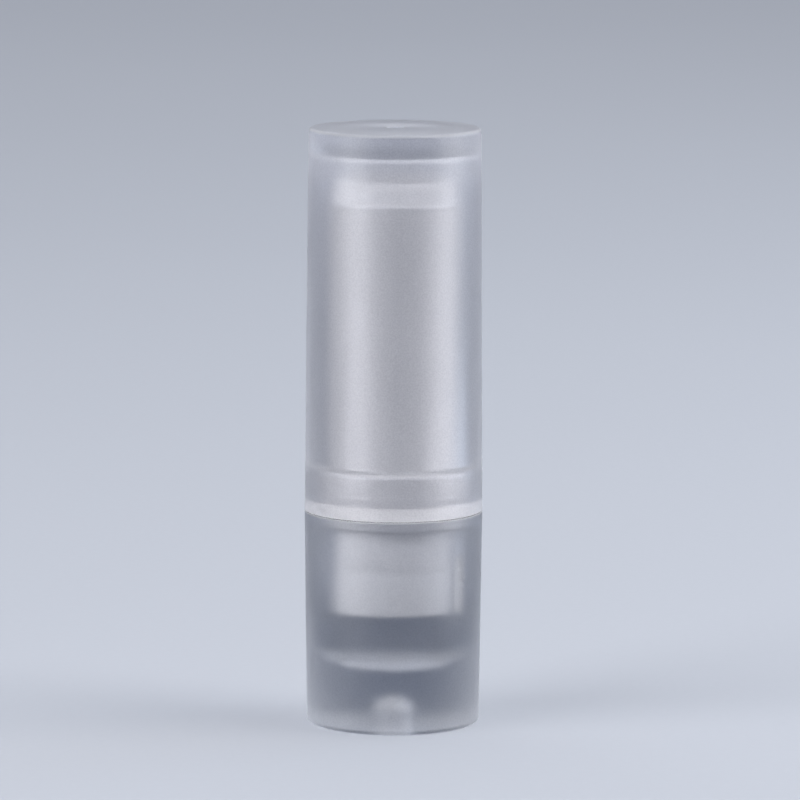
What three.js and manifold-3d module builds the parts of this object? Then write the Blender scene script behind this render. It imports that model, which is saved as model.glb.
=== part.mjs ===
// Twist-up lip balm tube, in millimetres, standing on z = 0 with its axis on +Z.
// The cap and base are thick frosted mouldings around a lipstick mechanism:
// turning the mid sleeve against the base screws the carrier cup up the fork.

import * as THREE from 'three';
import { mergeVertices } from 'three/addons/utils/BufferGeometryUtils.js';
import Module from 'manifold-3d';

// Fineness of the turned surfaces
const shellFacets = 52;
const coreFacets = 36;
const arcSteps = 2;

// Clearances
const runGap = 0.1;
const fitGap = 0.06;
const capGap = 0.2;
const lugGap = 0.15;
const endGap = 0.3;

// Carrier cup
const balmBore = 5.55;
const cupWall = 0.5;
const cupHeight = 12.6;
const cupFloor = 1;
const cupVent = 1.5;
const cupRibs = 6;
const cupRibWidth = 0.6;
const cupRibDepth = 0.25;
const cupRibDrop = 3;
const lugRadius = 0.8;
const lugRise = 1.5;

// Screw motion
const lead = 16;
const turns = 1.75;
const starts = 2;
const helixStep = Math.PI / 18;

// Drive fork
const forkWall = 0.5;
const forkThroat = 0.55;
const plugStep = 1.05;
const plugLength = 10.5;
const pilotLength = 5.3;
const pilotStep = 0.12;
const plugWall = 1;
const plugRoof = 1.5;
const keys = 2;
const keyAngle = -27 * Math.PI / 180;
const keyWidth = 1.5;
const keyReach = 0.6;
const keyHeight = 7;
const beadHeight = 0.2;
const beadLand = 0.8;

// Drag ring
const ringTube = 0.4;
const ringRise = 1.9;

// Spiral sleeve
const grooveDepth = 0.5;
const spiralSkin = 0.34;
const neckHeight = 2.4;
const neckLip = 0.6;
const neckRound = 1.1;
const flangeStep = 0.9;
const flangeHeight = 2;

// Mid sleeve
const sleeveWall = 0.45;
const collarStep = 1.15;
const collarShoulder = 2.8;
const collarEdge = 0.9;
const snapHeight = 0.11;
const snapRise = 1;

// Base shell
const baseFloor = 7.4;
const wellDepth = 6.9;
const wellRound = 3;
const ledge = 0.7;
const seatDepth = 1.5;
const baseTaper = 0.33;
const baseEdge = 0.7;
const edgeBreak = 0.15;
const recessRadius = 1.8;
const recessWall = 2.2;

// Cap
const rimWall = 1.55;
const capTaper = 0.36;
const capCeiling = 3.2;
const capEdge = 0.6;
const mouthWidth = 0.65;
const mouthHeight = 1.4;
const cupProud = 2.5;
const headGap = 0.7;
const stepGap = 0.15;
const stepRise = 0.8;
const gateRadius = 1.1;
const gateDepth = 0.15;

// Radii, worked outwards from the balm
const cupOuter = balmBore + cupWall;
const forkInner = cupOuter + runGap;
const forkOuter = forkInner + forkWall;
const spiralInner = forkOuter + runGap;
const grooveRadius = spiralInner + grooveDepth;
const lugTip = grooveRadius - lugGap;
const spiralOuter = grooveRadius + spiralSkin;
const sleeveInner = spiralOuter + fitGap;
const sleeveOuter = sleeveInner + sleeveWall;
const flangeOuter = spiralOuter + flangeStep;
const collarInner = flangeOuter + fitGap;
const collarOuter = sleeveOuter + collarStep;
const snapOuter = collarOuter + snapHeight;
const capBore = sleeveOuter + capGap;
const capMouth = collarOuter + capGap;
const rimRadius = capMouth + rimWall;
const plugOuter = forkOuter + plugStep;
const socketRadius = plugOuter + runGap;
const wellRadius = socketRadius - ledge;

// Heights, worked upwards from the foot
const ledgeZ = baseFloor + wellDepth;
const plugFoot = ledgeZ + runGap;
const plugTop = plugFoot + plugLength;
const seatZ = plugTop + runGap;
const baseHeight = seatZ + seatDepth;
const sleeveFoot = seatZ + runGap;
const ringZ = plugTop + ringRise;
const reliefTop = ringZ + ringTube + endGap;
const beadZ = reliefTop + beadLand + 2 * beadHeight;
const cupSeat = beadZ + beadHeight + endGap;
const cupFoot = cupSeat + endGap;
const lugZ = cupFoot + lugRise;
const slotFoot = lugZ - lugRadius - endGap;
const travel = lead * turns;
const cupHigh = cupFoot + cupHeight + travel;
const neckTop = cupHigh - cupProud;
const forkTop = neckTop - neckLip - endGap;
const sleeveTop = neckTop - neckHeight;
const capFoot = baseHeight + capGap;
const snapZ = capFoot + mouthHeight + snapRise;
const collarTop = snapZ + collarShoulder;
const ceilingZ = cupHigh + headGap;
const capTop = ceilingZ + capCeiling;

const wasm = await Module();
wasm.setup();

const profile = (r, z) => new THREE.Path().moveTo(r, z);

// Turns a closed outline of radius and height about the tube's axis
function turned(path, facets) {
  const geometry = new THREE.LatheGeometry(path.getPoints(arcSteps), facets);
  geometry.rotateX(Math.PI / 2);
  return geometry;
}

function solid(geometry) {
  const bare = new THREE.BufferGeometry();
  bare.setAttribute('position', geometry.getAttribute('position'));
  bare.setIndex(geometry.getIndex());
  const merged = mergeVertices(bare, 1e-4);
  return new wasm.Manifold(new wasm.Mesh({
    numProp: 3,
    vertProperties: new Float32Array(merged.getAttribute('position').array),
    triVerts: new Uint32Array(merged.getIndex().array),
  }));
}

function geometryOf(body) {
  const mesh = body.getMesh();
  const geometry = new THREE.BufferGeometry();
  geometry.setAttribute('position', new THREE.BufferAttribute(mesh.vertProperties, 3));
  geometry.setIndex(new THREE.BufferAttribute(mesh.triVerts, 1));
  return geometry;
}

// A bar that reaches out along one azimuth, from radius r0 to r1 and from height z0 to z1
function radialBar(angle, width, r0, r1, z0, z1) {
  const bar = new THREE.BoxGeometry(r1 - r0, width, z1 - z0);
  bar.translate((r0 + r1) / 2, 0, (z0 + z1) / 2);
  bar.rotateZ(angle);
  return bar;
}

// One square-sided groove that climbs by the lead in each turn, with square ends
function helicalGroove(startAngle, radius0, radius1, halfHeight) {
  const overrun = (lugRadius + endGap) / spiralInner;
  const sweep = turns * 2 * Math.PI + 2 * overrun;
  const count = Math.ceil(sweep / helixStep);
  const positions = [];
  const index = [];
  for (let i = 0; i <= count; i += 1) {
    const turn = -overrun + sweep * i / count;
    const z = lugZ + lead * turn / (2 * Math.PI);
    const cos = Math.cos(startAngle + turn);
    const sin = Math.sin(startAngle + turn);
    positions.push(radius0 * cos, radius0 * sin, z - halfHeight);
    positions.push(radius1 * cos, radius1 * sin, z - halfHeight);
    positions.push(radius1 * cos, radius1 * sin, z + halfHeight);
    positions.push(radius0 * cos, radius0 * sin, z + halfHeight);
  }
  for (let i = 0; i < count; i += 1) {
    for (let side = 0; side < 4; side += 1) {
      const a = 4 * i + side;
      const b = 4 * i + (side + 1) % 4;
      index.push(a, b + 4, b, a, a + 4, b + 4);
    }
  }
  const last = 4 * count;
  index.push(0, 1, 2, 0, 2, 3);
  index.push(last, last + 2, last + 1, last, last + 3, last + 2);
  const geometry = new THREE.BufferGeometry();
  geometry.setAttribute('position', new THREE.Float32BufferAttribute(positions, 3));
  geometry.setIndex(index);
  return geometry;
}

// Azimuths shared out evenly around the axis
function spread(count, first) {
  return Array.from({ length: count }, (_, i) => first + i * 2 * Math.PI / count);
}

const keyAngles = spread(keys, keyAngle);
const lugAngles = spread(starts, keyAngle + Math.PI / 2);
const ribAngles = spread(cupRibs, keyAngle);

// Base shell: thick floor, round-bottomed well, socket for the plug and a seat for the collar
function baseShell() {
  const footRadius = rimRadius - baseTaper;
  const path = profile(0, recessWall + recessRadius)
    .absarc(0, recessWall, recessRadius, Math.PI / 2, 0, true)
    .lineTo(recessRadius, 0)
    .lineTo(footRadius - baseEdge, 0)
    .absarc(footRadius - baseEdge, baseEdge, baseEdge, -Math.PI / 2, 0, false)
    .lineTo(rimRadius, baseHeight - edgeBreak)
    .lineTo(rimRadius - edgeBreak, baseHeight)
    .lineTo(capMouth + edgeBreak, baseHeight)
    .lineTo(capMouth, baseHeight - edgeBreak)
    .lineTo(capMouth, seatZ)
    .lineTo(socketRadius, seatZ)
    .lineTo(socketRadius, ledgeZ)
    .lineTo(wellRadius, ledgeZ)
    .lineTo(wellRadius, baseFloor + wellRound)
    .absarc(wellRadius - wellRound, baseFloor + wellRound, wellRound, 0, -Math.PI / 2, true)
    .lineTo(0, baseFloor);
  let body = solid(turned(path, shellFacets));
  for (const angle of keyAngles) {
    const tip = socketRadius - keyReach;
    const root = socketRadius + keyReach;
    const key = radialBar(angle, keyWidth, tip, root, ledgeZ - keyWidth, plugFoot + keyHeight);
    body = body.add(solid(key));
  }
  return geometryOf(body);
}

// Drive fork: slotted plug for the base keys, a snap bead, a ring groove and two guide prongs
function driveFork() {
  const throat = forkInner - forkThroat;
  const ringFloor = forkOuter - ringTube - fitGap;
  const ringHalf = ringTube + runGap;
  const pilot = plugOuter - pilotStep;
  const path = profile(plugOuter - plugWall, plugFoot)
    .lineTo(pilot - edgeBreak, plugFoot)
    .lineTo(pilot, plugFoot + edgeBreak)
    .lineTo(pilot, plugFoot + pilotLength)
    .lineTo(plugOuter, plugFoot + pilotLength + pilotStep)
    .lineTo(plugOuter, plugTop)
    .lineTo(forkOuter, plugTop)
    .lineTo(forkOuter, ringZ - ringHalf)
    .lineTo(ringFloor, ringZ - ringHalf)
    .lineTo(ringFloor, ringZ + ringHalf)
    .lineTo(forkOuter, ringZ + ringHalf)
    .lineTo(forkOuter, beadZ - beadHeight)
    .lineTo(forkOuter + beadHeight, beadZ)
    .lineTo(forkOuter, beadZ + beadHeight)
    .lineTo(forkOuter, forkTop)
    .lineTo(forkInner, forkTop)
    .lineTo(forkInner, cupSeat)
    .lineTo(throat, cupSeat)
    .lineTo(throat, plugTop - plugRoof)
    .lineTo(plugOuter - plugWall, plugTop - plugRoof)
    .lineTo(plugOuter - plugWall, plugFoot);
  let body = solid(turned(path, coreFacets));
  for (const angle of lugAngles) {
    const slotWidth = 2 * (lugRadius + lugGap);
    const slot = radialBar(angle, slotWidth, forkInner - cupWall, forkOuter + runGap, slotFoot, neckTop);
    body = body.subtract(solid(slot));
  }
  for (const angle of keyAngles) {
    const inner = plugOuter - plugWall - runGap;
    const slotTop = plugFoot + keyHeight + endGap;
    const slot = radialBar(angle, keyWidth + 2 * lugGap, inner, socketRadius, plugFoot - endGap, slotTop);
    body = body.subtract(solid(slot));
  }
  return geometryOf(body);
}

// Drag ring: sits half in the fork's groove
function dragRing() {
  return new THREE.TorusGeometry(forkOuter, ringTube, 8, coreFacets).translate(0, 0, ringZ);
}

// Spiral sleeve: flange at the foot, relief for the drag ring, bead groove, lip at the neck
function spiralSleeve() {
  const relief = forkOuter + ringTube + fitGap;
  const beadRoom = spiralInner + beadHeight;
  const path = profile(relief, sleeveFoot)
    .lineTo(flangeOuter, sleeveFoot)
    .lineTo(flangeOuter, sleeveFoot + flangeHeight)
    .lineTo(spiralOuter, sleeveFoot + flangeHeight)
    .lineTo(spiralOuter, neckTop - neckRound)
    .absarc(spiralOuter - neckRound, neckTop - neckRound, neckRound, 0, Math.PI / 2, false)
    .lineTo(forkInner, neckTop)
    .lineTo(forkInner, neckTop - neckLip)
    .lineTo(spiralInner, neckTop - neckLip)
    .lineTo(spiralInner, beadZ + 2 * beadHeight)
    .lineTo(beadRoom, beadZ + beadHeight)
    .lineTo(beadRoom, beadZ - beadHeight)
    .lineTo(spiralInner, beadZ - 2 * beadHeight)
    .lineTo(spiralInner, reliefTop)
    .lineTo(relief, reliefTop)
    .lineTo(relief, sleeveFoot);
  const climb = Math.atan(lead / (2 * Math.PI * spiralInner));
  const halfHeight = (lugRadius + lugGap) / Math.cos(climb);
  let body = solid(turned(path, coreFacets));
  for (const angle of lugAngles) {
    body = body.subtract(solid(helicalGroove(angle, forkOuter, grooveRadius, halfHeight)));
  }
  return geometryOf(body);
}

// Mid sleeve: thin column over the spiral, with the collar that carries the cap
function midSleeve() {
  const ledgeTop = sleeveFoot + flangeHeight + runGap;
  const rimRound = 0.85 * sleeveWall;
  const path = profile(collarInner, sleeveFoot)
    .lineTo(collarOuter, sleeveFoot)
    .lineTo(collarOuter, snapZ - 2 * snapHeight)
    .lineTo(snapOuter, snapZ - snapHeight)
    .lineTo(snapOuter, snapZ + snapHeight)
    .lineTo(collarOuter, snapZ + 2 * snapHeight)
    .lineTo(collarOuter, collarTop - collarEdge)
    .absarc(collarOuter - collarEdge, collarTop - collarEdge, collarEdge, 0, Math.PI / 2, false)
    .lineTo(sleeveOuter, collarTop)
    .lineTo(sleeveOuter, sleeveTop - rimRound)
    .absarc(sleeveOuter - rimRound, sleeveTop - rimRound, rimRound, 0, Math.PI / 2, false)
    .lineTo(sleeveInner, sleeveTop)
    .lineTo(sleeveInner, ledgeTop)
    .lineTo(collarInner, ledgeTop)
    .lineTo(collarInner, sleeveFoot);
  return turned(path, coreFacets);
}

// Carrier cup: vented floor, ribs that grip the balm and two lugs
function carrierCup() {
  const cupTop = cupFoot + cupHeight;
  const path = profile(cupVent, cupFoot)
    .lineTo(cupOuter, cupFoot)
    .lineTo(cupOuter, cupTop)
    .lineTo(cupOuter - cupWall / 2, cupTop)
    .lineTo(balmBore, cupTop - cupWall)
    .lineTo(balmBore, cupFoot + cupFloor)
    .lineTo(cupVent, cupFoot + cupFloor)
    .lineTo(cupVent, cupFoot);
  let body = solid(turned(path, coreFacets));
  const root = balmBore + cupWall / 2;
  for (const angle of ribAngles) {
    const crest = balmBore - cupRibDepth;
    const ribTop = cupTop - cupRibDrop;
    const rib = radialBar(angle, cupRibWidth, crest, root, cupFoot + cupFloor / 2, ribTop);
    body = body.add(solid(rib));
  }
  for (const angle of lugAngles) {
    const lug = new THREE.CylinderGeometry(lugRadius, lugRadius, lugTip - root, 20);
    lug.rotateZ(Math.PI / 2).translate((lugTip + root) / 2, 0, lugZ).rotateZ(angle);
    body = body.add(solid(lug));
  }
  return geometryOf(body);
}

// Cap: tapered outside, stepped bore that clears the column and grips the collar
function capCover() {
  const topRadius = rimRadius - capTaper;
  const stepZ = collarTop + stepGap;
  const path = profile(0, ceilingZ)
    .lineTo(capBore - capEdge, ceilingZ)
    .absarc(capBore - capEdge, ceilingZ - capEdge, capEdge, Math.PI / 2, 0, true)
    .lineTo(capBore, stepZ + stepRise)
    .lineTo(capMouth, stepZ)
    .lineTo(capMouth, snapZ + 3 * snapHeight)
    .lineTo(capMouth + snapHeight, snapZ + 2 * snapHeight)
    .lineTo(capMouth + snapHeight, snapZ - 2 * snapHeight)
    .lineTo(capMouth, snapZ - 3 * snapHeight)
    .lineTo(capMouth, capFoot + mouthHeight)
    .lineTo(capMouth + mouthWidth, capFoot)
    .lineTo(rimRadius - edgeBreak, capFoot)
    .lineTo(rimRadius, capFoot + edgeBreak)
    .lineTo(topRadius, capTop - capEdge)
    .absarc(topRadius - capEdge, capTop - capEdge, capEdge, 0, Math.PI / 2, false)
    .lineTo(gateRadius, capTop)
    .lineTo(gateRadius - gateDepth, capTop - gateDepth)
    .lineTo(0, capTop - gateDepth);
  return turned(path, shellFacets);
}

const frosted = { color: 0xd9dce4, roughness: 0.55, metalness: 0, transparent: true, opacity: 0.55 };
const satin = { color: 0xd4d5da, roughness: 0.4, metalness: 0 };
const white = { color: 0xe6e6ea, roughness: 0.5, metalness: 0 };
const silicone = { color: 0xc4c8cc, roughness: 0.7, metalness: 0 };

const pieces = [
  ['base_shell', baseShell(), frosted],
  ['drive_fork', driveFork(), white],
  ['drag_ring', dragRing(), silicone],
  ['spiral_sleeve', spiralSleeve(), white],
  ['mid_sleeve', midSleeve(), satin],
  ['carrier_cup', carrierCup(), white],
  ['cap', capCover(), frosted],
];

const group = new THREE.Group();
group.name = 'lip_balm_tube';
for (const [name, geometry, finish] of pieces) {
  const mesh = new THREE.Mesh(geometry, new THREE.MeshStandardMaterial(finish));
  mesh.name = name;
  group.add(mesh);
}

export default group;
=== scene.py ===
import bpy
import bmesh
import math
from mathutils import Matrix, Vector


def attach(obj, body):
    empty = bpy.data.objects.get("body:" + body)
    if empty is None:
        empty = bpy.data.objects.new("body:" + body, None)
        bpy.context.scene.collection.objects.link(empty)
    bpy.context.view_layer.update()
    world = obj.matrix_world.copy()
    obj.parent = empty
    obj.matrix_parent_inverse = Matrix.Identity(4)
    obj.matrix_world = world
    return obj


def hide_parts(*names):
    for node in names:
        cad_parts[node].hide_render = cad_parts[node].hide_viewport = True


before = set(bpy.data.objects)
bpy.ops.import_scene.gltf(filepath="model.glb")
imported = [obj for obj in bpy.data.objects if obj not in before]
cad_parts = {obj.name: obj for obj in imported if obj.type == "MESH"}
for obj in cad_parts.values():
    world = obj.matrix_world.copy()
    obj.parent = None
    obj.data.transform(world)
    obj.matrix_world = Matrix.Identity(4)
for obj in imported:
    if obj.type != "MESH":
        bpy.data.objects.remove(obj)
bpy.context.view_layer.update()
print("frame loaded:", sorted(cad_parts))

scene = bpy.context.scene
scene.view_settings.view_transform = "Standard"

mm = 0.001               # the forms below are in millimetres
turnSteps = 144          # facets round every turned piece
smoothAngle = math.radians(32)
mergeGap = 1e-7          # metres, points nearer than this become one
pickMargin = 4e-6        # metres, how near a ring's edges lie to the size asked for
hair = 0.01              # millimetres, tells a face from the one beside it
pastWall = 0.1           # millimetres, how far a cutter stands out of a wall
pastEnd = 0.5            # millimetres, how far a bar runs on past the place where it ends


# modelling helpers

def deselectAll():
    if bpy.context.mode != "OBJECT":
        bpy.ops.object.mode_set(mode="OBJECT")
    bpy.ops.object.select_all(action="DESELECT")


def pickObject(piece):
    deselectAll()
    piece.select_set(True)
    bpy.context.view_layer.objects.active = piece


def settle():
    # the active object's place, turn and size go into its mesh
    bpy.ops.object.transform_apply(location=True, rotation=True, scale=True)


def selectBoundary():
    bpy.ops.mesh.select_all(action="DESELECT")
    bpy.ops.mesh.select_non_manifold(
        extend=False, use_wire=True, use_boundary=True,
        use_multi_face=False, use_non_contiguous=False, use_verts=False)


def closeSkin():
    # in edit mode: doubles become one point, then all faces look outwards
    bpy.ops.mesh.select_all(action="SELECT")
    bpy.ops.mesh.remove_doubles(threshold=mergeGap)
    bpy.ops.mesh.normals_make_consistent(inside=False)
    bpy.ops.object.mode_set(mode="OBJECT")


def turnedPiece(name, rings, hollow):
    # a circle is added at the first ring, then pulled from ring to ring like a lathe outline
    deselectAll()
    radius, height = rings[0]
    bpy.ops.mesh.primitive_circle_add(
        vertices=turnSteps, radius=radius * mm, location=(0, 0, height * mm),
        fill_type="NOTHING" if hollow else "TRIFAN")
    piece = bpy.context.active_object
    piece.name = name
    settle()
    bpy.ops.object.mode_set(mode="EDIT")
    bpy.ops.mesh.select_mode(type="EDGE")
    selectBoundary()
    for (r0, z0), (r1, z1) in zip(rings, rings[1:]):
        bpy.ops.mesh.extrude_region_move(
            TRANSFORM_OT_translate={"value": (0, 0, (z1 - z0) * mm)})
        bpy.ops.transform.resize(
            value=(r1 / r0, r1 / r0, 1), center_override=(0, 0, z1 * mm))
    if hollow:
        selectBoundary()
        bpy.ops.mesh.bridge_edge_loops()
    else:
        bpy.ops.mesh.extrude_region_move(TRANSFORM_OT_translate={"value": (0, 0, 0)})
        bpy.ops.mesh.merge(type="CENTER")
    closeSkin()
    return piece


def roundRings(piece, corners):
    # each corner is the radius and height of an edge ring, its bevel's width and its steps
    pickObject(piece)
    bpy.ops.object.mode_set(mode="EDIT")
    bpy.ops.mesh.select_mode(type="EDGE")
    for radius, height, width, steps in corners:
        bpy.ops.mesh.select_all(action="DESELECT")
        mesh = bmesh.from_edit_mesh(piece.data)
        for edge in mesh.edges:
            edge.select = all(
                abs(math.hypot(v.co.x, v.co.y) - radius * mm) < pickMargin
                and abs(v.co.z - height * mm) < pickMargin for v in edge.verts)
        bmesh.update_edit_mesh(piece.data)
        bpy.ops.mesh.bevel(offset=width * mm, segments=steps, profile=0.5, affect="EDGES")
    bpy.ops.object.mode_set(mode="OBJECT")


def turnTo(tool, angle):
    # a tool made on the X axis is turned round the tube's axis
    tool.rotation_euler = (0, 0, angle)
    settle()


def radialBar(angle, width, r0, r1, z0, z1):
    # a bar that reaches out along one azimuth
    deselectAll()
    bpy.ops.mesh.primitive_cube_add(
        size=1, location=((r0 + r1) / 2 * mm, 0, (z0 + z1) / 2 * mm))
    bar = bpy.context.active_object
    bar.scale = ((r1 - r0) * mm, width * mm, (z1 - z0) * mm)
    settle()
    turnTo(bar, angle)
    return bar


def combine(piece, tool, operation):
    pickObject(piece)
    change = piece.modifiers.new("change", "BOOLEAN")
    change.object = tool
    change.operation = operation
    change.solver = "EXACT"
    bpy.ops.object.modifier_apply(modifier=change.name)
    bpy.data.objects.remove(tool)


def finishPiece(piece, materials, node, body):
    pickObject(piece)
    bpy.ops.object.mode_set(mode="EDIT")
    bpy.ops.mesh.select_all(action="SELECT")
    bpy.ops.mesh.remove_doubles(threshold=mergeGap)
    bpy.ops.object.mode_set(mode="OBJECT")
    bpy.ops.object.shade_smooth_by_angle(angle=smoothAngle)
    for material in materials:
        piece.data.materials.append(material)
    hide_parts(node)
    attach(piece, body)
    print("made", piece.name, len(piece.data.polygons), "faces")


def giveFaces(piece, material, wanted):
    # faces are chosen by the radius r and height z of their middle, in millimetres
    place = piece.data.materials.find(material.name)
    for face in piece.data.polygons:
        if wanted(math.hypot(face.center.x, face.center.y) / mm, face.center.z / mm):
            face.material_index = place


def snapRings(radius, middle, rise, reach):
    # a low swell in a wall, rising and falling without a corner
    steps = 8
    return [(radius + rise * (0.5 - 0.5 * math.cos(2 * math.pi * i / steps)),
             middle + reach * (2 * i / steps - 1)) for i in range(steps + 1)]


def aroundAxis(count, first):
    return [first + 2 * math.pi * i / count for i in range(count)]


# shader groups

def newGroup(name, inputs, outputs):
    group = bpy.data.node_groups.new(name, "ShaderNodeTree")
    for label, value in inputs:
        socket = group.interface.new_socket(
            label, in_out="INPUT", socket_type="NodeSocketFloat")
        socket.default_value = value
    for label in outputs:
        group.interface.new_socket(label, in_out="OUTPUT", socket_type="NodeSocketFloat")
    return group, group.nodes.new("NodeGroupInput"), group.nodes.new("NodeGroupOutput")


def makeMouldGrain():
    # the fine tooth of a moulded surface, and broad soft patches where it is more or less worn
    group, given, result = newGroup(
        "mouldGrain", [("Grain Scale", 5000), ("Patch Scale", 120)], ["Grain", "Patch"])
    place = group.nodes.new("ShaderNodeTexCoord")
    grain = group.nodes.new("ShaderNodeTexNoise")
    grain.inputs["Detail"].default_value = 2
    patch = group.nodes.new("ShaderNodeTexNoise")
    patch.inputs["Detail"].default_value = 3
    group.links.new(place.outputs["Object"], grain.inputs["Vector"])
    group.links.new(place.outputs["Object"], patch.inputs["Vector"])
    group.links.new(given.outputs["Grain Scale"], grain.inputs["Scale"])
    group.links.new(given.outputs["Patch Scale"], patch.inputs["Scale"])
    # the noise keeps near its middle, so that part is stretched to the full range
    tooth = group.nodes.new("ShaderNodeMapRange")
    tooth.inputs["From Min"].default_value = 0.3
    tooth.inputs["From Max"].default_value = 0.7
    group.links.new(grain.outputs["Fac"], tooth.inputs["Value"])
    group.links.new(tooth.outputs["Result"], result.inputs["Grain"])
    group.links.new(patch.outputs["Fac"], result.inputs["Patch"])
    return group


def makeHeightFade():
    # 1 up to one height in a piece and 0 from another, with a soft change between them
    group, given, result = newGroup("heightFade", [("Low", 0.0), ("High", 0.01)], ["Fade"])
    place = group.nodes.new("ShaderNodeTexCoord")
    parts = group.nodes.new("ShaderNodeSeparateXYZ")
    fade = group.nodes.new("ShaderNodeMapRange")
    fade.interpolation_type = "SMOOTHSTEP"
    fade.inputs["To Min"].default_value = 1
    fade.inputs["To Max"].default_value = 0
    group.links.new(place.outputs["Object"], parts.inputs["Vector"])
    group.links.new(parts.outputs["Z"], fade.inputs["Value"])
    group.links.new(given.outputs["Low"], fade.inputs["From Min"])
    group.links.new(given.outputs["High"], fade.inputs["From Max"])
    group.links.new(fade.outputs["Result"], result.inputs["Fade"])
    return group


mouldGrain = makeMouldGrain()
heightFade = makeHeightFade()


# material helpers

def newMaterial(name):
    material = bpy.data.materials.new(name)
    material.use_nodes = True
    tree = material.node_tree
    return material, tree, tree.nodes["Principled BSDF"]


def placeGroup(tree, group, values):
    node = tree.nodes.new("ShaderNodeGroup")
    node.node_tree = group
    for label, value in values.items():
        node.inputs[label].default_value = value
    return node


def placeGrain(tree, look):
    node = placeGroup(
        tree, mouldGrain, {"Grain Scale": look["grain"], "Patch Scale": look["patch"]})
    return node.outputs["Grain"], node.outputs["Patch"]


def mathNode(tree, operation, a, b):
    node = tree.nodes.new("ShaderNodeMath")
    node.operation = operation
    for socket, value in zip(node.inputs, (a, b)):
        if isinstance(value, (int, float)):
            socket.default_value = value
        else:
            tree.links.new(value, socket)
    return node.outputs[0]


def blendColours(tree, mask, dark, light):
    mix = tree.nodes.new("ShaderNodeMix")
    mix.data_type = "RGBA"
    for label, colour in (("A", dark), ("B", light)):
        socket = next(s for s in mix.inputs if s.name == label and s.type == "RGBA")
        if isinstance(colour, tuple):
            socket.default_value = (*colour, 1)
        else:
            tree.links.new(colour, socket)
    tree.links.new(mask, mix.inputs["Factor"])
    return next(s for s in mix.outputs if s.type == "RGBA")


def rangeOf(tree, mask, low, high):
    spread = tree.nodes.new("ShaderNodeMapRange")
    spread.inputs["To Min"].default_value = low
    spread.inputs["To Max"].default_value = high
    tree.links.new(mask, spread.inputs["Value"])
    return spread.outputs["Result"]


plasticIor = 1.5
grainDepth = 0.00001     # metres, height of the moulded tooth
glowReach = 0.0014       # metres, how far light spreads under the skin
evenGlow = (1, 1, 1)     # red, green and blue spread alike


def layPlastic(tree, shader, look, colour, grain, patch):
    # what every plastic shares: its colour, a roughness that drifts, and the moulded tooth
    tree.links.new(colour, shader.inputs["Base Color"])
    tree.links.new(rangeOf(tree, patch, *look["rough"]), shader.inputs["Roughness"])
    shader.inputs["IOR"].default_value = plasticIor
    bump = tree.nodes.new("ShaderNodeBump")
    bump.inputs["Strength"].default_value = look["bump"]
    bump.inputs["Distance"].default_value = grainDepth
    tree.links.new(grain, bump.inputs["Height"])
    tree.links.new(bump.outputs["Normal"], shader.inputs["Normal"])


def letLampsThrough(tree, shader, tint):
    # lamp light reaches what is inside, a little dimmed at each face
    path = tree.nodes.new("ShaderNodeLightPath")
    clear = tree.nodes.new("ShaderNodeBsdfTransparent")
    clear.inputs["Color"].default_value = (*tint, 1)
    mix = tree.nodes.new("ShaderNodeMixShader")
    tree.links.new(path.outputs["Is Shadow Ray"], mix.inputs[0])
    tree.links.new(shader.outputs[0], mix.inputs[1])
    tree.links.new(clear.outputs[0], mix.inputs[2])
    tree.links.new(mix.outputs[0], tree.nodes["Material Output"].inputs["Surface"])


def clearPlastic(name, look):
    material, tree, shader = newMaterial(name)
    grain, patch = placeGrain(tree, look)
    fine = mathNode(tree, "MULTIPLY", grain, look["speckle"])
    broad = mathNode(tree, "MULTIPLY", patch, 1 - look["speckle"])
    colour = blendColours(tree, mathNode(tree, "ADD", fine, broad), look["clear"], look["milky"])
    if "paintedFootShade" in look:
        # painted shade: faces seen from inside the plastic, below a height in the foot, get a
        # near-black colour, so the foot looks dim through its walls
        depth = placeGroup(tree, heightFade, look["paintedFootShadeFade"])
        side = tree.nodes.new("ShaderNodeNewGeometry")
        paintedShadeMask = mathNode(tree, "MULTIPLY", depth.outputs["Fade"], side.outputs["Backfacing"])
        colour = blendColours(tree, paintedShadeMask, colour, look["paintedFootShade"])
    layPlastic(tree, shader, look, colour, grain, patch)
    shader.inputs["Transmission Weight"].default_value = look["passes"]
    letLampsThrough(tree, shader, look["lampTint"])
    return material


def mouldedPlastic(name, look):
    material, tree, shader = newMaterial(name)
    grain, patch = placeGrain(tree, look)
    colour = blendColours(tree, patch, look["dark"], look["light"])
    if "paintedTopShade" in look:
        # painted shade: the upper end of the moulding is coloured a shade darker, as if in shade
        belowTopShade = placeGroup(tree, heightFade, look["paintedTopShadeFade"])
        colour = blendColours(tree, belowTopShade.outputs["Fade"], look["paintedTopShade"], colour)
    layPlastic(tree, shader, look, colour, grain, patch)
    shader.inputs["Metallic"].default_value = look["metal"]
    shader.inputs["Subsurface Weight"].default_value = look["glow"]
    shader.inputs["Subsurface Radius"].default_value = evenGlow
    shader.inputs["Subsurface Scale"].default_value = glowReach
    return material


# looks of the clear shells

shellTooth = {"grain": 5200, "patch": 140}
frostedOutside = {
    **shellTooth, "clear": (0.485, 0.492, 0.545), "milky": (0.675, 0.682, 0.735),
    "rough": (0.30, 0.37), "passes": 0.78, "lampTint": (0.965, 0.966, 0.975),
    "bump": 0.1, "speckle": 0.75,
}
# the base's skin carries a painted shade: a near-black colour on the inner side of its lower foot
frostedFoot = {
    **frostedOutside, "clear": (0.545, 0.57, 0.65), "milky": (0.725, 0.75, 0.83),
    "rough": (0.35, 0.42), "passes": 0.93, "lampTint": (0.98, 0.982, 0.99),
    "paintedFootShade": (0.036, 0.045, 0.068), "paintedFootShadeFade": {"Low": 0.012, "High": 0.029},
}
polishedBore = {
    "grain": 2500, "patch": 200, "clear": (0.765, 0.765, 0.775), "milky": (0.825, 0.825, 0.832),
    "rough": (0.06, 0.11), "passes": 1.0, "lampTint": (0.985, 0.985, 0.99),
    "bump": 0.04, "speckle": 0.1,
}
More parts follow.
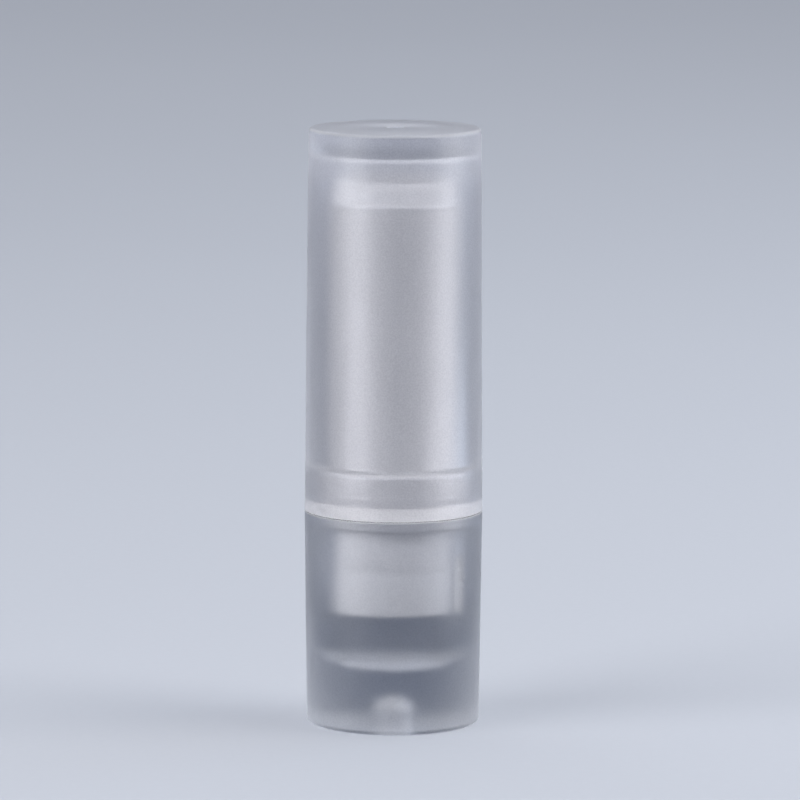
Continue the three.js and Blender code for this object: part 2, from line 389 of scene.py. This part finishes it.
# near-white matt copy of the frosted plastic: its light colour is a painted highlight, used on the
# mouth's lead-in, the recess dome and the key
mattPaintedLight = {
    **shellTooth, "clear": (0.92, 0.905, 0.89), "milky": (0.985, 0.971, 0.958),
    "rough": (0.28, 0.36), "passes": 0.55, "lampTint": (0.9, 0.9, 0.91),
    "bump": 0.1, "speckle": 0.5,
}
mattFoot = {**mattPaintedLight, "clear": (0.60, 0.603, 0.62), "milky": (0.70, 0.703, 0.72)}
# a near-white satin copy for the bore's step cone, a painted highlight line
satinPaintedStepLight = {**mattPaintedLight, "rough": (0.16, 0.22), "passes": 0.76}
# a painted glint: a lighter, more diffuse copy of the frosted skin for thin edge highlights
paintedGlint = {
    **shellTooth, "clear": (0.58, 0.582, 0.61), "milky": (0.69, 0.692, 0.72),
    "rough": (0.3, 0.36), "passes": 0.6, "lampTint": (0.93, 0.932, 0.945),
    "bump": 0.04, "speckle": 0.5,
}
# a near-white copy of the bore plastic: its lighter colour is painted light, a highlight line on the
# ceiling's rounding and a glow at the top of the bore
satinPaintedLight = {
    **shellTooth, "clear": (0.82, 0.825, 0.85), "milky": (0.90, 0.905, 0.925),
    "rough": (0.28, 0.36), "passes": 0.72, "lampTint": (0.93, 0.932, 0.945),
    "bump": 0.08, "speckle": 0.5,
}
# the top of the bore is hazier than below, and its lighter colour is a painted glow of light
# scattered from the frosted top
hazeAndPaintedGlow = {**satinPaintedLight, "rough": (0.2, 0.26), "passes": 0.87, "lampTint": (0.95, 0.95, 0.96)}

frostedSkin = clearPlastic("frostedSkin", frostedOutside)
frostedBase = clearPlastic("frostedBase", frostedFoot)
clearBore = clearPlastic("clearBore", polishedBore)
mattPaintedLightEdge = clearPlastic("mattPaintedLightEdge", mattPaintedLight)
mattUnderside = clearPlastic("mattUnderside", mattFoot)
paintedStepLight = clearPlastic("paintedStepLight", satinPaintedStepLight)
paintedGlintEdge = clearPlastic("paintedGlintEdge", paintedGlint)
paintedLightCorner = clearPlastic("paintedLightCorner", satinPaintedLight)
hazyBorePaintedGlow = clearPlastic("hazyBorePaintedGlow", hazeAndPaintedGlow)


# looks of the pieces inside

sleeveTooth = {"grain": 7000, "patch": 160, "glow": 0}
satinColumn = {
    **sleeveTooth, "dark": (0.714, 0.70, 0.692), "light": (0.764, 0.749, 0.74),
    "rough": (0.46, 0.53), "metal": 0.53, "bump": 0.12,
}
# a lighter, glossier copy of the column's satin: the lighter colour is a painted highlight on the
# roundings
satinPaintedHighlight = {
    **sleeveTooth, "dark": (0.83, 0.82, 0.818), "light": (0.87, 0.86, 0.858),
    "rough": (0.36, 0.42), "metal": 0.45, "bump": 0.05,
}
asMoulded = {"grain": 6000, "patch": 200, "rough": (0.56, 0.66), "metal": 0, "bump": 0.15}
# the neck's top lip gets a painted shade, a darker colour above a height
paleNeck = {
    **asMoulded, "dark": (0.88, 0.865, 0.858), "light": (0.91, 0.895, 0.888), "glow": 0.5,
    "paintedTopShade": (0.62, 0.61, 0.605), "paintedTopShadeFade": {"Low": 0.0662, "High": 0.0675},
}
paleCup = {**asMoulded, "dark": (0.70, 0.692, 0.69), "light": (0.75, 0.742, 0.74), "glow": 0.5}
# the plug's upper part gets a painted shade, a darker colour above a height
palePlug = {
    **asMoulded, "dark": (0.95, 0.93, 0.915), "light": (0.98, 0.962, 0.95), "glow": 0.25,
    "paintedTopShade": (0.82, 0.804, 0.794), "paintedTopShadeFade": {"Low": 0.0192, "High": 0.0202},
}
greyRing = {
    "grain": 4000, "patch": 300, "dark": (0.56, 0.58, 0.61), "light": (0.62, 0.64, 0.67),
    "rough": (0.6, 0.72), "metal": 0, "glow": 0.2, "bump": 0.2,
}

satinSleeve = mouldedPlastic("satinSleeve", satinColumn)
paintedRimHighlight = mouldedPlastic("paintedRimHighlight", satinPaintedHighlight)
whiteCore = mouldedPlastic("whiteCore", paleNeck)
whiteCup = mouldedPlastic("whiteCup", paleCup)
whitePlug = mouldedPlastic("whitePlug", palePlug)
softSilicone = mouldedPlastic("softSilicone", greyRing)
print("materials made")


# base shell: thick floor, round well, socket for the plug and a seat for the collar

keyAngle = math.radians(-27)

baseForm = {
    "footRadius": 10.67, "rimRadius": 11.0, "height": 26.5,
    "footRound": 0.7, "rimRound": 0.15, "edgeRound": 0.12, "skinDepth": 1.0,
    "recessRadius": 1.8, "recessWall": 2.2, "recessSteps": 8, "recessEdge": 0.2,
    "seatRadius": 9.45, "seat": 25.0, "socketRadius": 7.8, "ledge": 14.3,
    "wellRadius": 7.1, "floor": 7.4, "wellRound": 3.0,
    "keyWidth": 1.5, "keyReach": 0.6, "keyTop": 21.4, "keySink": 0.3,
}


def makeBase(form):
    # the outline starts at the top of the recess in the underside
    rings = []
    for i in range(1, form["recessSteps"] + 1):
        turn = math.pi / 2 * i / form["recessSteps"]
        rings.append((form["recessRadius"] * math.sin(turn),
                      form["recessWall"] + form["recessRadius"] * math.cos(turn)))
    rings += [
        (form["recessRadius"], 0), (form["footRadius"], 0), (form["rimRadius"], form["height"]),
        (form["seatRadius"], form["height"]), (form["seatRadius"], form["seat"]),
        (form["socketRadius"], form["seat"]), (form["socketRadius"], form["ledge"]),
        (form["wellRadius"], form["ledge"]), (form["wellRadius"], form["floor"])]
    base = turnedPiece("baseShell", rings, hollow=False)
    roundRings(base, [
        (form["footRadius"], 0, form["footRound"], 6),
        (form["recessRadius"], 0, form["edgeRound"], 2),
        (form["rimRadius"], form["height"], form["rimRound"], 3),
        (form["seatRadius"], form["height"], form["rimRound"], 3),
        (form["socketRadius"], form["seat"], form["edgeRound"], 2),
        (form["wellRadius"], form["ledge"], form["edgeRound"], 2),
        (form["wellRadius"], form["floor"], form["wellRound"], 12)])
    for angle in aroundAxis(2, keyAngle):
        key = radialBar(
            angle, form["keyWidth"],
            form["socketRadius"] - form["keyReach"], form["socketRadius"] + form["keyReach"],
            form["ledge"] - form["keySink"], form["keyTop"])
        combine(base, key, "UNION")
    finishPiece(base, [clearBore, frostedBase, mattUnderside, mattPaintedLightEdge, paintedGlintEdge],
                "base_shell", "base")
    recessTop = form["recessWall"] + form["recessRadius"]
    giveFaces(base, frostedBase, lambda r, z: r > form["footRadius"] - form["skinDepth"]
              and z < form["height"] - hair)
    giveFaces(base, mattUnderside, lambda r, z: z < hair
              or r < form["recessRadius"] + form["recessEdge"] and z < form["recessWall"])
    # painted highlight: the recess dome and the key in the socket take the near-white matt colour
    giveFaces(base, mattPaintedLightEdge, lambda r, z: r < form["recessRadius"]
              and form["recessWall"] < z < recessTop)
    giveFaces(base, mattPaintedLightEdge, lambda r, z: form["wellRadius"] + hair < r < form["socketRadius"] - hair
              and form["ledge"] + hair < z < form["keyTop"] + hair)
    # painted highlight: the base's top rim rounding takes the glint colour
    giveFaces(base, paintedGlintEdge, lambda r, z: r > form["rimRadius"] - form["rimRound"] - hair
              and z > form["height"] - form["rimRound"])


makeBase(baseForm)


# drive fork: plug in the base, ring groove, snap bead and the guide prongs

lugAngle = keyAngle + math.pi / 2

forkForm = {
    "plugInner": 6.7, "pilotRadius": 7.58, "plugRadius": 7.7, "plugFoot": 14.4,
    "pilotTop": 19.5, "pilotTaper": 0.5, "plugTop": 24.9, "plugRoof": 23.4,
    "outer": 6.65, "inner": 6.15, "throat": 5.6, "plugRound": 0.15, "edgeRound": 0.12,
    "ringFloor": 6.19, "ringLow": 26.3, "ringHigh": 27.3, "bead": 28.7, "beadHeight": 0.2,
    "cupSeat": 29.2, "top": 66.7, "slotWidth": 1.9, "slotFoot": 29.9,
    "keySlotWidth": 1.8, "keySlotTop": 21.7,
}


def makeFork(form):
    bead = form["bead"]
    rise = form["beadHeight"]
    plugShoulder = form["pilotTop"] + form["pilotTaper"]
    fork = turnedPiece("driveFork", [
        (form["plugInner"], form["plugFoot"]), (form["pilotRadius"], form["plugFoot"]),
        (form["pilotRadius"], form["pilotTop"]), (form["plugRadius"], plugShoulder),
        (form["plugRadius"], form["plugTop"]), (form["outer"], form["plugTop"]),
        (form["outer"], form["ringLow"]), (form["ringFloor"], form["ringLow"]),
        (form["ringFloor"], form["ringHigh"]), (form["outer"], form["ringHigh"]),
        (form["outer"], bead - rise), (form["outer"] + rise, bead), (form["outer"], bead + rise),
        (form["outer"], form["top"]), (form["inner"], form["top"]),
        (form["inner"], form["cupSeat"]), (form["throat"], form["cupSeat"]),
        (form["throat"], form["plugRoof"]), (form["plugInner"], form["plugRoof"])], hollow=True)
    roundRings(fork, [
        (form["pilotRadius"], form["plugFoot"], form["plugRound"], 3),
        (form["plugRadius"], form["plugTop"], form["edgeRound"], 2),
        (form["outer"], form["top"], form["edgeRound"], 2)])
    for angle in aroundAxis(2, lugAngle):
        slot = radialBar(
            angle, form["slotWidth"], form["inner"] - pastEnd, form["outer"] + pastWall,
            form["slotFoot"], form["top"] + 2 * pastEnd)
        combine(fork, slot, "DIFFERENCE")
    for angle in aroundAxis(2, keyAngle):
        slot = radialBar(
            angle, form["keySlotWidth"], form["plugInner"] - pastWall,
            form["plugRadius"] + pastWall, form["plugFoot"] - pastEnd, form["keySlotTop"])
        combine(fork, slot, "DIFFERENCE")
    finishPiece(fork, [whitePlug], "drive_fork", "base")


makeFork(forkForm)


# spiral sleeve: tube with a lip at the neck; the lifting grooves are not cut yet, see makeGrooveTool

spiralForm = {
    "relief": 7.11, "foot": 25.1, "flangeRadius": 8.49, "flangeTop": 27.1, "outer": 7.59,
    "top": 67.6, "lipInner": 6.15, "lip": 67.0, "inner": 6.75, "reliefTop": 27.5,
    "beadRoom": 6.95, "bead": 28.7, "beadHeight": 0.2, "neckRound": 1.1, "lipRound": 0.15,
    "grooveRadius": 7.25, "grooveHalf": 1.01, "lugHeight": 31.0, "lead": 16.0, "turns": 1.75,
    "overrun": 0.163, "grooveSteps": 48,
}


def makeGrooveTool(form, angle):
    # a small plate stood on the tube's wall and screwed up the axis
    # fault: the screw's rise lacks the factor mm, so the plate cuts only a hairline slit
    sweep = form["turns"] * 2 * math.pi + 2 * form["overrun"]
    low = form["lugHeight"] - form["lead"] * form["overrun"] / (2 * math.pi)
    inner = form["inner"] - pastWall
    deselectAll()
    bpy.ops.mesh.primitive_plane_add(
        size=1, location=((inner + form["grooveRadius"]) / 2 * mm, 0, low * mm),
        rotation=(math.pi / 2, 0, 0))
    tool = bpy.context.active_object
    tool.scale = ((form["grooveRadius"] - inner) * mm, 2 * form["grooveHalf"] * mm, 1)
    settle()
    screw = tool.modifiers.new("screw", "SCREW")
    screw.axis = "Z"
    screw.angle = sweep
    screw.screw_offset = form["lead"] * sweep / (2 * math.pi)
    screw.steps = int(form["grooveSteps"] * sweep / (2 * math.pi))
    screw.render_steps = screw.steps
    bpy.ops.object.modifier_apply(modifier=screw.name)
    turnTo(tool, angle - form["overrun"])
    bpy.ops.object.mode_set(mode="EDIT")
    selectBoundary()
    bpy.ops.mesh.edge_face_add()
    closeSkin()
    return tool


def makeSpiral(form):
    bead = form["bead"]
    rise = form["beadHeight"]
    spiral = turnedPiece("spiralSleeve", [
        (form["relief"], form["foot"]), (form["flangeRadius"], form["foot"]),
        (form["flangeRadius"], form["flangeTop"]), (form["outer"], form["flangeTop"]),
        (form["outer"], form["top"]), (form["lipInner"], form["top"]),
        (form["lipInner"], form["lip"]), (form["inner"], form["lip"]),
        (form["inner"], bead + 2 * rise), (form["beadRoom"], bead + rise),
        (form["beadRoom"], bead - rise), (form["inner"], bead - 2 * rise),
        (form["inner"], form["reliefTop"]), (form["relief"], form["reliefTop"])], hollow=True)
    roundRings(spiral, [
        (form["outer"], form["top"], form["neckRound"], 7),
        (form["lipInner"], form["top"], form["lipRound"], 2)])
    for angle in aroundAxis(2, lugAngle):
        combine(spiral, makeGrooveTool(form, angle), "DIFFERENCE")
    finishPiece(spiral, [whiteCore], "spiral_sleeve", "sleeve")


makeSpiral(spiralForm)


# mid sleeve: satin column with the collar that the cap pushes onto

sleeveForm = {
    "collarInner": 8.55, "foot": 25.1, "collarRadius": 9.25, "edgeRound": 0.12,
    "snap": 29.1, "snapHeight": 0.025, "snapReach": 0.6,
    "collarTop": 32.2, "outer": 8.1, "top": 65.2, "inner": 7.65, "ledge": 27.2,
    "collarRound": 0.55, "cornerRound": 0.15, "topRound": 0.4,
}


def makeSleeve(form):
    sleeve = turnedPiece("midSleeve", [
        (form["collarInner"], form["foot"]), (form["collarRadius"], form["foot"]),
        *snapRings(form["collarRadius"], form["snap"], form["snapHeight"], form["snapReach"]),
        (form["collarRadius"], form["collarTop"]), (form["outer"], form["collarTop"]),
        (form["outer"], form["top"]), (form["inner"], form["top"]),
        (form["inner"], form["ledge"]), (form["collarInner"], form["ledge"])], hollow=True)
    roundRings(sleeve, [
        (form["collarRadius"], form["foot"], form["edgeRound"], 2),
        (form["collarRadius"], form["collarTop"], form["collarRound"], 8),
        (form["outer"], form["collarTop"], form["cornerRound"], 3),
        (form["outer"], form["top"], form["topRound"], 6)])
    finishPiece(sleeve, [satinSleeve, paintedRimHighlight], "mid_sleeve", "sleeve")
    # painted highlight: the top rim's rounding and the collar's rounding take the lighter satin
    giveFaces(sleeve, paintedRimHighlight, lambda r, z: r > form["inner"] + hair
              and z > form["top"] - form["topRound"])
    giveFaces(sleeve, paintedRimHighlight, lambda r, z: r > form["outer"] + form["cornerRound"]
              and form["collarTop"] - form["collarRound"] < z < form["collarTop"] + hair)


makeSleeve(sleeveForm)


# carrier cup: vented floor, ribs that grip the balm, lugs for the lifting grooves

cupForm = {
    "vent": 1.5, "foot": 29.5, "outer": 6.05, "top": 42.1, "bore": 5.55, "floor": 30.5,
    "leadWidth": 0.25, "leadHeight": 0.5, "footRound": 0.2, "edgeRound": 0.12, "floorRound": 0.3,
    "ribs": 6, "ribWidth": 0.6, "ribDepth": 0.25, "ribTop": 39.1,
    "lugRadius": 0.8, "lugTip": 7.1, "lugHeight": 31.0, "lugFacets": 48,
}


def makeCup(form):
    cup = turnedPiece("carrierCup", [
        (form["vent"], form["foot"]), (form["outer"], form["foot"]), (form["outer"], form["top"]),
        (form["outer"] - form["leadWidth"], form["top"]),
        (form["bore"], form["top"] - form["leadHeight"]),
        (form["bore"], form["floor"]), (form["vent"], form["floor"])], hollow=True)
    roundRings(cup, [
        (form["outer"], form["foot"], form["footRound"], 3),
        (form["outer"], form["top"], form["edgeRound"], 2),
        (form["bore"], form["floor"], form["floorRound"], 3)])
    wallMiddle = (form["outer"] + form["bore"]) / 2
    for angle in aroundAxis(form["ribs"], keyAngle):
        rib = radialBar(
            angle, form["ribWidth"], form["bore"] - form["ribDepth"], wallMiddle,
            form["floor"] - pastEnd, form["ribTop"])
        combine(cup, rib, "UNION")
    for angle in aroundAxis(2, lugAngle):
        deselectAll()
        bpy.ops.mesh.primitive_cylinder_add(
            vertices=form["lugFacets"], radius=form["lugRadius"] * mm,
            depth=(form["lugTip"] - wallMiddle) * mm,
            location=((form["lugTip"] + wallMiddle) / 2 * mm, 0, form["lugHeight"] * mm),
            rotation=(0, math.pi / 2, 0))
        lug = bpy.context.active_object
        settle()
        turnTo(lug, angle)
        combine(cup, lug, "UNION")
    finishPiece(cup, [whiteCup], "carrier_cup", "cup")


makeCup(cupForm)


# cap: tapered outside, stepped bore, lead-in at the mouth, small gate mark on top

capForm = {
    "gateInner": 0.95, "gateRadius": 1.1, "gateDepth": 0.15, "gateRound": 0.08,
    "top": 74.0, "topRadius": 10.64, "topRound": 0.6, "glintDepth": 0.08,
    "rimRadius": 11.0, "foot": 26.6, "rimRound": 0.15, "rimWidth": 0.2,
    "mouthRadius": 10.1, "mouthTop": 27.95, "mouthRound": 0.1, "leadRound": 0.35,
    "mattOver": 0.4, "skinInset": 0.45, "skinTop": 1.0,
    "grip": 9.45, "snap": 29.1, "snapHeight": 0.025, "snapReach": 0.7,
    "stepLow": 32.35, "stepHigh": 32.6, "stepRound": 0.15,
    "bore": 8.3, "hazeFrom": 67.8, "ceiling": 70.8, "ceilingRound": 0.6,
}


def makeCap(form):
    cap = turnedPiece("capCover", [
        (form["gateInner"], form["top"] - form["gateDepth"]), (form["gateRadius"], form["top"]),
        (form["topRadius"], form["top"]), (form["rimRadius"], form["foot"]),
        (form["mouthRadius"], form["foot"]), (form["grip"], form["mouthTop"]),
        *snapRings(form["grip"], form["snap"], form["snapHeight"], form["snapReach"]),
        (form["grip"], form["stepLow"]), (form["bore"], form["stepHigh"]),
        (form["bore"], form["hazeFrom"]), (form["bore"], form["ceiling"])], hollow=False)
    roundRings(cap, [
        (form["gateRadius"], form["top"], form["gateRound"], 2),
        (form["topRadius"], form["top"], form["topRound"], 6),
        (form["rimRadius"], form["foot"], form["rimRound"], 3),
        (form["mouthRadius"], form["foot"], form["mouthRound"], 2),
        (form["grip"], form["mouthTop"], form["leadRound"], 4),
        (form["grip"], form["stepLow"], form["stepRound"], 3),
        (form["bore"], form["stepHigh"], form["stepRound"], 3),
        (form["bore"], form["ceiling"], form["ceilingRound"], 8)])
    finishPiece(
        cap, [clearBore, frostedSkin, mattPaintedLightEdge, paintedStepLight, hazyBorePaintedGlow, paintedLightCorner, paintedGlintEdge],
        "cap", "cap")
    mouthOuter = form["rimRadius"] - form["rimWidth"]
    domeLow = form["ceiling"] - form["ceilingRound"]
    giveFaces(cap, frostedSkin, lambda r, z: r > form["mouthRadius"] + form["skinInset"]
              or z > form["top"] - form["skinTop"])
    # painted highlight: the lead-in at the cap's mouth takes the near-white matt colour, a bright
    # band
    giveFaces(cap, mattPaintedLightEdge, lambda r, z: form["grip"] + hair / 2 < r < mouthOuter
              and z < form["mouthTop"] + form["mattOver"])
    # painted highlight: the step cone in the bore takes the near-white satin
    giveFaces(cap, paintedStepLight, lambda r, z: r < form["grip"]
              and form["stepLow"] < z < form["stepHigh"])
    # haze and painted glow on the bore's upper end
    giveFaces(cap, hazyBorePaintedGlow, lambda r, z: r < form["bore"] + hair
              and form["hazeFrom"] < z < domeLow)
    # painted highlight: the ceiling's rounding takes the near-white colour
    giveFaces(cap, paintedLightCorner, lambda r, z: r > form["bore"] - form["ceilingRound"]
              and domeLow < z < form["ceiling"] - hair)
    # painted highlight: the upper bevel faces of the top edge and the rim's rounding take the glint
    # colour
    giveFaces(cap, paintedGlintEdge, lambda r, z: r > form["topRadius"] - form["topRound"]
              and form["top"] - form["topRound"] / 2 < z < form["top"] - form["glintDepth"])
    giveFaces(cap, paintedGlintEdge, lambda r, z: r > form["rimRadius"] - form["rimRound"] - hair
              and z < form["foot"] + form["rimRound"])


makeCap(capForm)

# the drag ring keeps its CAD shape, hidden under the collar
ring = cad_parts["drag_ring"]
ring.data.materials.clear()
ring.data.materials.append(softSilicone)
print("pieces done")


# floor, light and camera

stageLook = {
    "floorSize": 8.0, "floorDrop": 0.00002, "rough": (0.75, 0.85), "grain": 900, "patch": 2,
    "floorDark": (0.484, 0.502, 0.55), "floorLight": (0.517, 0.535, 0.583),
    "sky": (0.72, 0.80, 0.97), "skyStrength": 0.285,
}


def makeStage(look):
    deselectAll()
    bpy.ops.mesh.primitive_plane_add(size=look["floorSize"], location=(0, 0, -look["floorDrop"]))
    floor = bpy.context.active_object
    floor.name = "studioFloor"
    paint, tree, shader = newMaterial("palePaper")
    grain, patch = placeGrain(tree, look)
    colour = blendColours(tree, patch, look["floorDark"], look["floorLight"])
    tree.links.new(colour, shader.inputs["Base Color"])
    tree.links.new(rangeOf(tree, grain, *look["rough"]), shader.inputs["Roughness"])
    floor.data.materials.append(paint)
    world = bpy.data.worlds.new("studioAir")
    world.use_nodes = True
    air = world.node_tree.nodes["Background"]
    air.inputs["Color"].default_value = (*look["sky"], 1)
    air.inputs["Strength"].default_value = look["skyStrength"]
    scene.world = world


white = (1, 1, 1)
paleBlue = (0.78, 0.89, 1)
lampAim = Vector((0, 0, 0.037))    # the middle of the tube
softboxes = [
    {"name": "leftBox", "azimuth": -58, "distance": 0.8, "height": 0.30,
     "size": (0.6, 0.75), "watts": 4.3, "tint": white},
    {"name": "rightBox", "azimuth": 82, "distance": 0.8, "height": 0.30,
     "size": (0.6, 0.75), "watts": 4.2, "tint": white},
    {"name": "topBox", "azimuth": 180, "distance": 0.9, "height": 1.3,
     "size": (2.2, 2.2), "watts": 13.2, "tint": white},
    {"name": "rightRear", "azimuth": 118, "distance": 0.8, "height": 0.42,
     "size": (0.5, 0.6), "watts": 1.6, "tint": paleBlue},
    {"name": "leftHigh", "azimuth": -55, "distance": 0.45, "height": 0.75,
     "size": (0.4, 0.4), "watts": 1.3, "tint": white},
    {"name": "rightHigh", "azimuth": 75, "distance": 0.45, "height": 0.75,
     "size": (0.4, 0.4), "watts": 1.4, "tint": white},
]


def faceTowards(place, target):
    return (target - place).to_track_quat("-Z", "Y").to_euler()


def makeSoftbox(box):
    turn = math.radians(box["azimuth"])
    away = box["distance"]
    place = Vector((math.sin(turn) * away, -math.cos(turn) * away, box["height"]))
    bpy.ops.object.light_add(type="AREA", location=place)
    lamp = bpy.context.active_object
    lamp.name = box["name"]
    lamp.data.shape = "RECTANGLE"
    lamp.data.size, lamp.data.size_y = box["size"]
    lamp.data.energy = box["watts"]
    lamp.data.color = box["tint"]
    lamp.rotation_euler = faceTowards(place, lampAim)


cameraSetup = {
    "distance": 0.798, "height": 0.151, "lookRight": 0.00075, "lookHeight": 0.0402,
    "roll": 0.235, "lens": 293.6, "sensor": 36, "clipStart": 0.01,
}


def makeCamera(setup):
    place = Vector((setup["lookRight"], -setup["distance"], setup["height"]))
    target = Vector((setup["lookRight"], 0, setup["lookHeight"]))
    bpy.ops.object.camera_add(location=place)
    camera = bpy.context.active_object
    camera.name = "photoCamera"
    camera.data.lens = setup["lens"]
    camera.data.sensor_width = setup["sensor"]
    camera.data.clip_start = setup["clipStart"]
    camera.rotation_euler = faceTowards(place, target)
    camera.rotation_euler.rotate_axis("Z", math.radians(setup["roll"]))
    scene.camera = camera


makeStage(stageLook)
for box in softboxes:
    makeSoftbox(box)
makeCamera(cameraSetup)
print("stage, lights and camera done")
